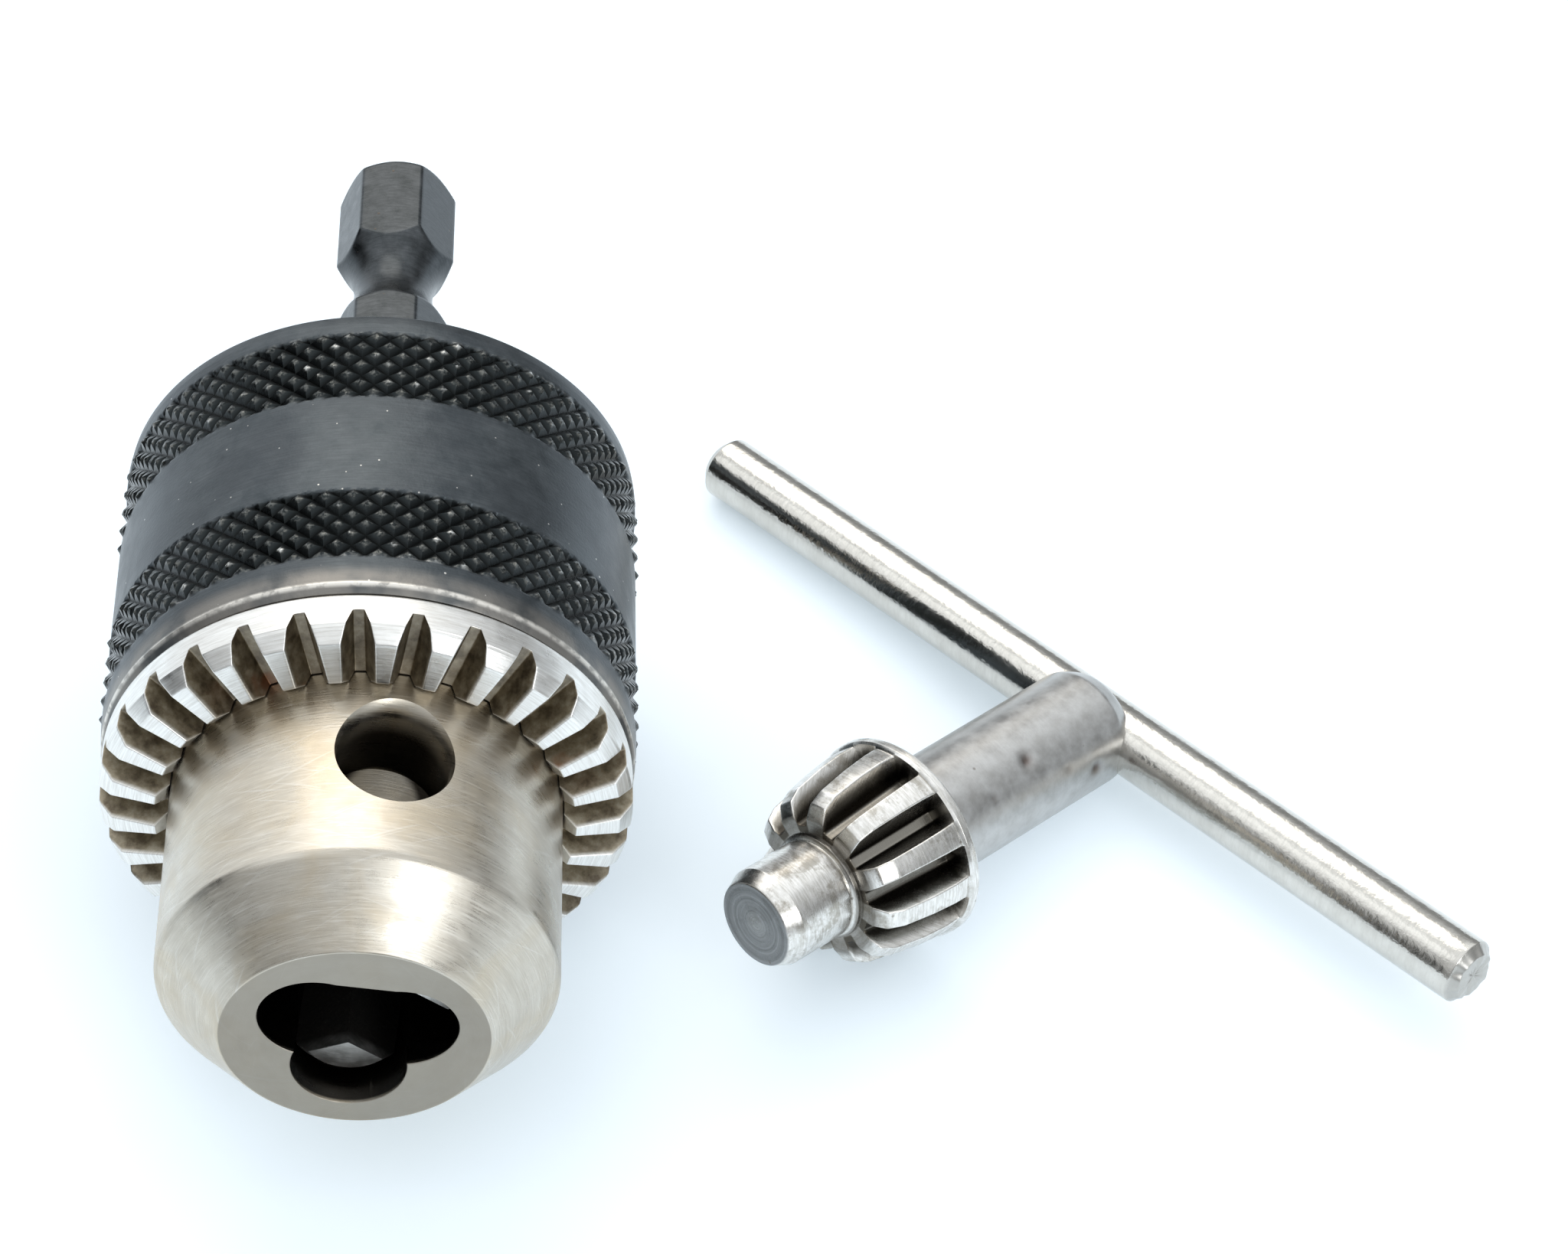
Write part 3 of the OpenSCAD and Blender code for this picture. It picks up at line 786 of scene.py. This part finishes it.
def make_ring(material):
    """Bevel ring gear: straight tooth spaces cut into a turned ring, edges slightly rounded."""
    land = spaced(rounded([
        (RING_BORE, 15.45, 0), (RING_FLOOR_R, 14.7, 0.10), (13.9, 15.25, 0.25), (RING_R - 0.1, 16.0, 0.10),
        (RING_R, 16.15, 0),
    ]), 0.25)
    pitch = math.tau / RING_TEETH
    half_u, half_y, half_oil_and_shade = [], [], []
    for radius, y in land:
        floor_y = RING_FLOOR_Y + (radius - RING_FLOOR_R) * math.tan(RING_TILT)
        deep = (floor_y - y) * math.cos(RING_TILT)
        section = tooth_section(RING_FLOOR_HALF, deep, RING_FLANK, radius * pitch / 2, 0.10, 0.10)
        half_u.append(np.arcsin(section[:, 0] / radius))
        half_y.append(floor_y - section[:, 1] / math.cos(RING_TILT))
        # oil and painted shade lie on the flank, less on the floor, and not on the land
        height = section[:, 1] / deep
        darkening = np.minimum(1, (1 - height) * 9) - np.clip(0.28 - height * 4, 0, 1)
        half_oil_and_shade.append(np.clip(darkening, 0, 1))
    u, y = mirrored(np.array(half_u).T, -1), mirrored(np.array(half_y).T)
    darkening = mirrored(np.array(half_oil_and_shade).T)
    last_u, last_y = u[:, -1], y[:, -1]
    rows = Rows(len(u))
    rows.add(RING_BORE, u[:, 0], RING_SEAT, 0.6)
    for k, (radius, _) in enumerate(land):
        rows.add(radius, u[:, k], y[:, k], darkening[:, k])
    rows.add(RING_R, last_u, last_y + RIM_BEVEL, darkening[:, -1] * 0.5)
    for share in (0.08, 0.25, 0.5, 0.75, 1.0):
        rows.add(RING_R, last_u, last_y + (RING_BACK - 0.2 - last_y) * share, 0.0)
    for radius, back_y in (
        (RING_R - 0.02, RING_BACK - 0.09), (RING_R - 0.12, RING_BACK), (SPIGOT_R, RING_BACK),
        (SPIGOT_R, SPIGOT_END), (NUT_R, SPIGOT_END), (NUT_R, RING_SEAT),
    ):
        rows.add(radius, last_u, back_y, 0.3)
    radius, angle, height, darkening = rows.grids()
    radius[:, len(land)] -= RIM_BEVEL
    turns = math.radians(RING_TURN) + np.arange(RING_TEETH) * pitch
    angle, radius, height, darkening = all_teeth(turns, angle, radius, height, darkening)
    points = around_chuck(radius, height, angle).reshape(-1, 3)
    mesh = facing_out(new_mesh("ring_gear_cut", points, grid_faces(*angle.shape, wrap_rows=True)))
    attribute(mesh, "flank", darkening)
    mesh.set_sharp_from_angle(angle=math.radians(42))
    show("ring_gear_cut", mesh, "gear_ring", "turning_sleeve", material)


# ---------------------------------------------------------------- hexagon drive shank

def soft_min(a, b, blend):
    """Smaller of two values with a rounded changeover."""
    mixed = np.clip(0.5 + 0.5 * (b - a) / blend, 0, 1)
    return b + (a - b) * mixed - blend * mixed * (1 - mixed)


def make_shank(material):
    """Hexagon with rounded corners, snap groove and end cone, on a collar screwed into the body."""
    angle = circle(SHANK_COLUMNS)
    facet = math.tau / 6
    off = (angle - SHANK_TURN + facet / 2) % facet - facet / 2
    flat = HEX_FLATS / 2 / np.cos(off)
    hexagon = soft_min(flat, HEX_FLATS / 2 / math.cos(facet / 2) - 0.03, 0.10)
    last = np.linspace(SHANK_END - 0.25, SHANK_END, 6)
    y = np.concatenate([np.arange(HEX_START, SHANK_END - 0.3, 0.11), last])
    inside = GROOVE_ARC_R ** 2 - (y - GROOVE_Y) ** 2
    groove = np.where(inside > 0, GROOVE_ARC_AT - np.sqrt(np.clip(inside, 0, None)), 9.0)
    cone = HEX_FLATS / 2 - 0.25 + (SHANK_END - y) * (3.967 - 2.925) / 1.05
    limit = soft_min(groove, cone, 0.12)
    past = np.sqrt(np.clip(SHANK_EDGE ** 2 - (y - SHANK_END + SHANK_EDGE) ** 2, 0, None))
    edge = np.where(y > SHANK_END - SHANK_EDGE, past - SHANK_EDGE, 0)
    radius = soft_min(hexagon[:, None], limit[None, :], 0.10) + edge[None, :]
    collar = rounded([(4.0, 29.12, 0), (4.7, 29.5, 0), (4.7, HEX_START - 0.05, 0.18), (3.75, HEX_START, 0.1)])
    start = np.broadcast_to(collar[None, :, 0], (SHANK_COLUMNS, len(collar)))
    radius = np.concatenate([start, radius], 1)
    y = np.concatenate([collar[:, 1], y])
    points = around_chuck(radius, y[None, :], angle[:, None]).reshape(-1, 3)
    mesh = facing_out(new_mesh("hex_shank_drive", *capped(points, SHANK_COLUMNS, len(y))))
    mesh.set_sharp_from_angle(angle=math.radians(35))
    show("hex_shank_drive", mesh, "hex_shank", "body", material)


# ---------------------------------------------------------------- key

def placed(points):
    """Key points moved from the key's own axes to where it lies."""
    matrix = np.array(key_matrix())
    return np.asarray(points) @ matrix[:3, :3].T + matrix[:3, 3]


def dented(radius, s, angle):
    """The key's radius with the dents of its shank, and how dirty each point is for them."""
    darkening = np.zeros_like(radius)
    for where, turn, deep, wide in DENTS:
        off = (angle - math.radians(turn) + math.pi) % math.tau - math.pi
        away = ((s - where) ** 2 + (off * KEY_SHANK_R) ** 2) / wide ** 2
        pit = np.where(s < 16, np.exp(-away), 0)
        radius = radius - deep * pit
        darkening = np.maximum(darkening, pit * min(1, deep / 0.12))
    return radius, darkening


def make_key(material):
    """Key shank, flange, pinion and pilot turned in one, with tapered straight tooth spaces."""
    pitch = math.tau / PINION_TEETH
    shank = spaced(rounded([
        (0.4, -0.30, 0), (2.2, -0.30, 0.8), (3.15, 0.35, 1.0), (KEY_SHANK_R, 1.4, 0.8),
        (KEY_SHANK_R, FLANGE_S, 0.15), (FLANGE_R - 0.12, FLANGE_S, 0.08), (FLANGE_R, 16.8, 0.05),
        (FLANGE_R, 17.2, 0.05), (FLANGE_R - 0.12, PINION_S, 0),
    ]), 0.22)
    crests = spaced(rounded([
        (5.95, PINION_S + 0.04, 0), (5.95, 18.4, 0.8), (5.8, 20.0, 1.5), (5.45, 22.0, 1.0), (5.0, 22.9, 0.25),
        (4.3, PINION_END - 0.03, 0),
    ]), 0.25)
    pilot = spaced(rounded([
        (PILOT_FOOT_R, PINION_END, 0), (3.2, 23.5, 0.05), (PILOT_R - 0.05, 23.62, 0.05), (PILOT_R, 23.8, 0.1),
        (PILOT_R, 27.45, 0.12), (2.55, 28.44, 0.12), (0.3, 28.36, 0),
    ]), 0.25)
    half_u, half_r, half_dark = [], [], []
    for crest, s in crests:
        floor = PINION_FLOOR_R - PINION_TAPER * (s - PINION_S)
        # height of the flank's top where it meets the crest circle
        rise = max(0.3, crest * 0.985 - floor)
        section = tooth_section(0.35, rise, PINION_FLANK, crest * math.sin(pitch / 2), 0.14, 0.25)
        across, height = section[:, 0], section[:, 1] + floor
        radius = np.hypot(across, height)
        half_u.append(np.arctan2(across, height))
        half_r.append(np.minimum(radius, crest))
        # 0 on the land, 1 at the foot of the flank and 2 along the middle of the floor; the material paints
        # shade and light from it
        sunk = np.clip((crest - 0.12 - radius) / (crest - floor) * 1.6, 0, 1)
        half_dark.append(sunk + np.where(sunk == 1, np.clip((0.34 - across) / 0.16, 0, 1), 0))
    u, r = mirrored(np.array(half_u).T, -1), mirrored(np.array(half_r).T)
    dark = mirrored(np.array(half_dark).T)
    rows = Rows(len(u))
    for radius, s in shank:
        rows.add(radius, s, u[:, 0], 0)
    for k, (_, s) in enumerate(crests):
        rows.add(r[:, k], s, u[:, k], dark[:, k])
    # the pinion's end face, from the teeth in to the foot of the pilot, partly painted shaded
    for share in (0.05, 0.35, 0.7):
        radius = r[:, -1] * (1 - share) + PILOT_FOOT_R * share
        rows.add(radius, PINION_END, u[:, -1], 0.75 * np.minimum(dark[:, -1], 1) + 0.25)
    for radius, s in pilot:
        rows.add(radius, s, u[:, -1], 0)
    radius, s, angle, dark = rows.grids()
    turns = math.radians(PINION_TURN) + (np.arange(PINION_TEETH) + 0.5) * pitch
    angle, radius, s, dark = all_teeth(turns, angle, radius, s, dark)
    radius, darkening = dented(radius, s, angle)
    points = around_key(radius, s, angle).reshape(-1, 3)
    points, faces = capped(points, *angle.shape)
    mesh = facing_out(new_mesh("key_pinion_shank", placed(points), faces))
    # the two last points are the middles of the ends
    attribute(mesh, "gap", np.append(dark.ravel(), [0, 0]))
    attribute(mesh, "dent", np.append(darkening.ravel(), [0, 0]))
    mesh.set_sharp_from_angle(angle=math.radians(42))
    show("key_pinion_shank", mesh, "key_body", "key", material)


def make_bar(material):
    """Cross bar, chamfered at both ends, the near end roughly sheared."""
    line = spaced(rounded([
        (0.25, BAR_START + 0.03, 0), (1.45, BAR_START, 0.12), (BAR_R, BAR_START + 0.55, 0.15),
        (BAR_R, BAR_END - 0.62, 0.12), (1.5, BAR_END - 0.02, 0.10), (0.9, BAR_END, 0.1),
        (0.2, BAR_END - 0.10, 0),
    ]), 0.5)
    rows = len(line)
    angle = circle(BAR_COLUMNS)
    radius, x = (np.broadcast_to(line[None, :, k], (BAR_COLUMNS, rows)).copy() for k in (0, 1))
    ragged = np.clip((x - (BAR_END - 0.75)) / 0.3, 0, 1)
    wave = 0.5 * np.sin(3 * angle + 0.6) + 0.3 * np.sin(7 * angle + 2.1) + 0.2 * np.sin(13 * angle)
    radius -= 0.05 * ragged * (1 + wave[:, None]) * (radius > 0.8)
    x -= 0.08 * ragged * (1 + wave[:, None]) * (radius < 1.9)
    points = np.stack([x, radius * np.cos(angle)[:, None], radius * np.sin(angle)[:, None]], -1)
    points, faces = capped(points.reshape(-1, 3), BAR_COLUMNS, rows)
    mesh = facing_out(new_mesh("key_cross_bar", placed(points), faces))
    mesh.set_sharp_from_angle(angle=math.radians(42))
    show("key_cross_bar", mesh, "key_bar", "key", material)


# ---------------------------------------------------------------- build

key_axes = key_matrix()
make_body(body_steel())
make_sleeve(black_oxide())
make_ring(ring_steel())
make_shank(dark_steel("shank_dark", (0.047, 0.052, 0.055), (0.092, 0.098, 0.104), 0.30))
make_key(key_steel(key_axes))
make_bar(bar_steel(key_axes))

jaw_paint = dark_steel("jaw_steel", (0.60, 0.59, 0.56), (0.84, 0.82, 0.79), 0.40, shaded_from=JAW_FRONT + 0.3)
nut_paint = dark_steel("nut_steel", (0.22, 0.20, 0.17), (0.36, 0.33, 0.29), 0.40)
for name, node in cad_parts.items():
    paint = jaw_paint if name.startswith("jaw") else nut_paint if name.startswith("nut") else None
    if paint:
        node.data.materials.clear()
        node.data.materials.append(paint)

# ---------------------------------------------------------------- camera, floor and light

AIM, AZIMUTH, ELEVATION = (23.07, 21.75, 7.56), math.radians(-1.6), math.radians(47.051)
DISTANCE, LENS, SENSOR = 230.0, 96.68, 36.0

camera = linked("camera", bpy.data.cameras.new("camera"))
camera.data.lens, camera.data.sensor_width = LENS, SENSOR
camera.data.clip_start, camera.data.clip_end = 0.01, 20.0
back = Vector((
    math.sin(AZIMUTH) * math.cos(ELEVATION),
    -math.cos(AZIMUTH) * math.cos(ELEVATION),
    math.sin(ELEVATION),
))
camera.location = (Vector(AIM) + back * DISTANCE) * MM
camera.rotation_euler = back.to_track_quat("Z", "Y").to_euler()
bpy.context.scene.camera = camera

FLOOR_HALF = 0.45  # metres

floor_mesh = bpy.data.meshes.new("floor")
floor_signs = ((-1, -1), (1, -1), (1, 1), (-1, 1))
floor_mesh.from_pydata(
    [(x * FLOOR_HALF, y * FLOOR_HALF, TABLE_Z * MM) for x, y in floor_signs], [], [(0, 1, 2, 3)])
# a faint glow keeps the shadows on the white table as pale as they should be
floor_paint = Paint(
    "floor_white", (0.75, 0.80, 0.85), metallic=0.0, roughness=0.6,
    Emission_Color=(0.79, 0.92, 1, 1), Emission_Strength=0.37)
floor_mesh.materials.append(floor_paint.material)
linked("floor", floor_mesh)


def area_light(name, at, size, watts, colour):
    """A square lamp that points at the middle of the object; places and sizes are metres."""
    lamp = bpy.data.lights.new(name, "AREA")
    lamp.shape, lamp.size = "SQUARE", size
    lamp.energy, lamp.color = watts, colour
    thing = linked(name, lamp)
    thing.location = at
    thing.rotation_euler = (Vector(at) - Vector(LIT)).to_track_quat("Z", "Y").to_euler()


LIT = (0.02, 0.02, 0.0)
area_light("overhead", (-0.06, 0.55, 0.62), 0.55, 1.65, (1.0, 0.95, 0.87))
area_light("window", (0.46, -0.60, 0.46), 0.36, 1.9, (0.93, 0.97, 1.0))

world = bpy.data.worlds.new("studio")
bpy.context.scene.world = world
world.use_nodes = True
sky = world.node_tree
backdrop = sky.nodes["Background"]
toward = sky.nodes.new("ShaderNodeTexCoord").outputs["Generated"]


def part_of_sky(direction, low, high, to_low, to_high):
    """A smooth change in brightness with how nearly a ray runs along a direction."""
    near = sky.nodes.new("ShaderNodeVectorMath")
    near.operation = "DOT_PRODUCT"
    near.inputs[1].default_value = Vector(direction).normalized()
    sky.links.new(toward, near.inputs[0])
    made = sky.nodes.new("ShaderNodeMapRange")
    made.interpolation_type = "SMOOTHSTEP"
    for k, value in enumerate((low, high, to_low, to_high), 1):
        made.inputs[k].default_value = value
    sky.links.new(near.outputs["Value"], made.inputs[0])
    return made.outputs[0]


def sky_math(operation, a, b):
    made = sky.nodes.new("ShaderNodeMath")
    made.operation = operation
    sky.links.new(a, made.inputs[0])
    sky.links.new(b, made.inputs[1])
    return made.outputs[0]


# a pale room: brighter overhead, with three soft lamps, and dark low on the left
UP = (0, 0, 1)
light = part_of_sky(UP, 0.25, 0.60, 0.38, 0.80)
for direction, low, high, gain in (
    (UP, 0.68, 0.88, 0.45), ((0.52, 0.52, 0.68), 0.93, 0.99, 0.45),
    ((-0.68, 0.08, 0.73), 0.955, 0.985, 0.55), ((-0.62, 0.72, 0.25), 0.84, 0.97, 0.75),
):
    light = sky_math("ADD", light, part_of_sky(direction, low, high, 0.0, gain))
light = sky_math("MULTIPLY", light, part_of_sky((-0.98, 0.08, 0.12), 0.86, 0.94, 1.0, 0.06))
sky.links.new(light, backdrop.inputs["Strength"])
backdrop.inputs["Color"].default_value = (0.93, 0.97, 1.0, 1)

bpy.context.scene.view_settings.view_transform = "Standard"
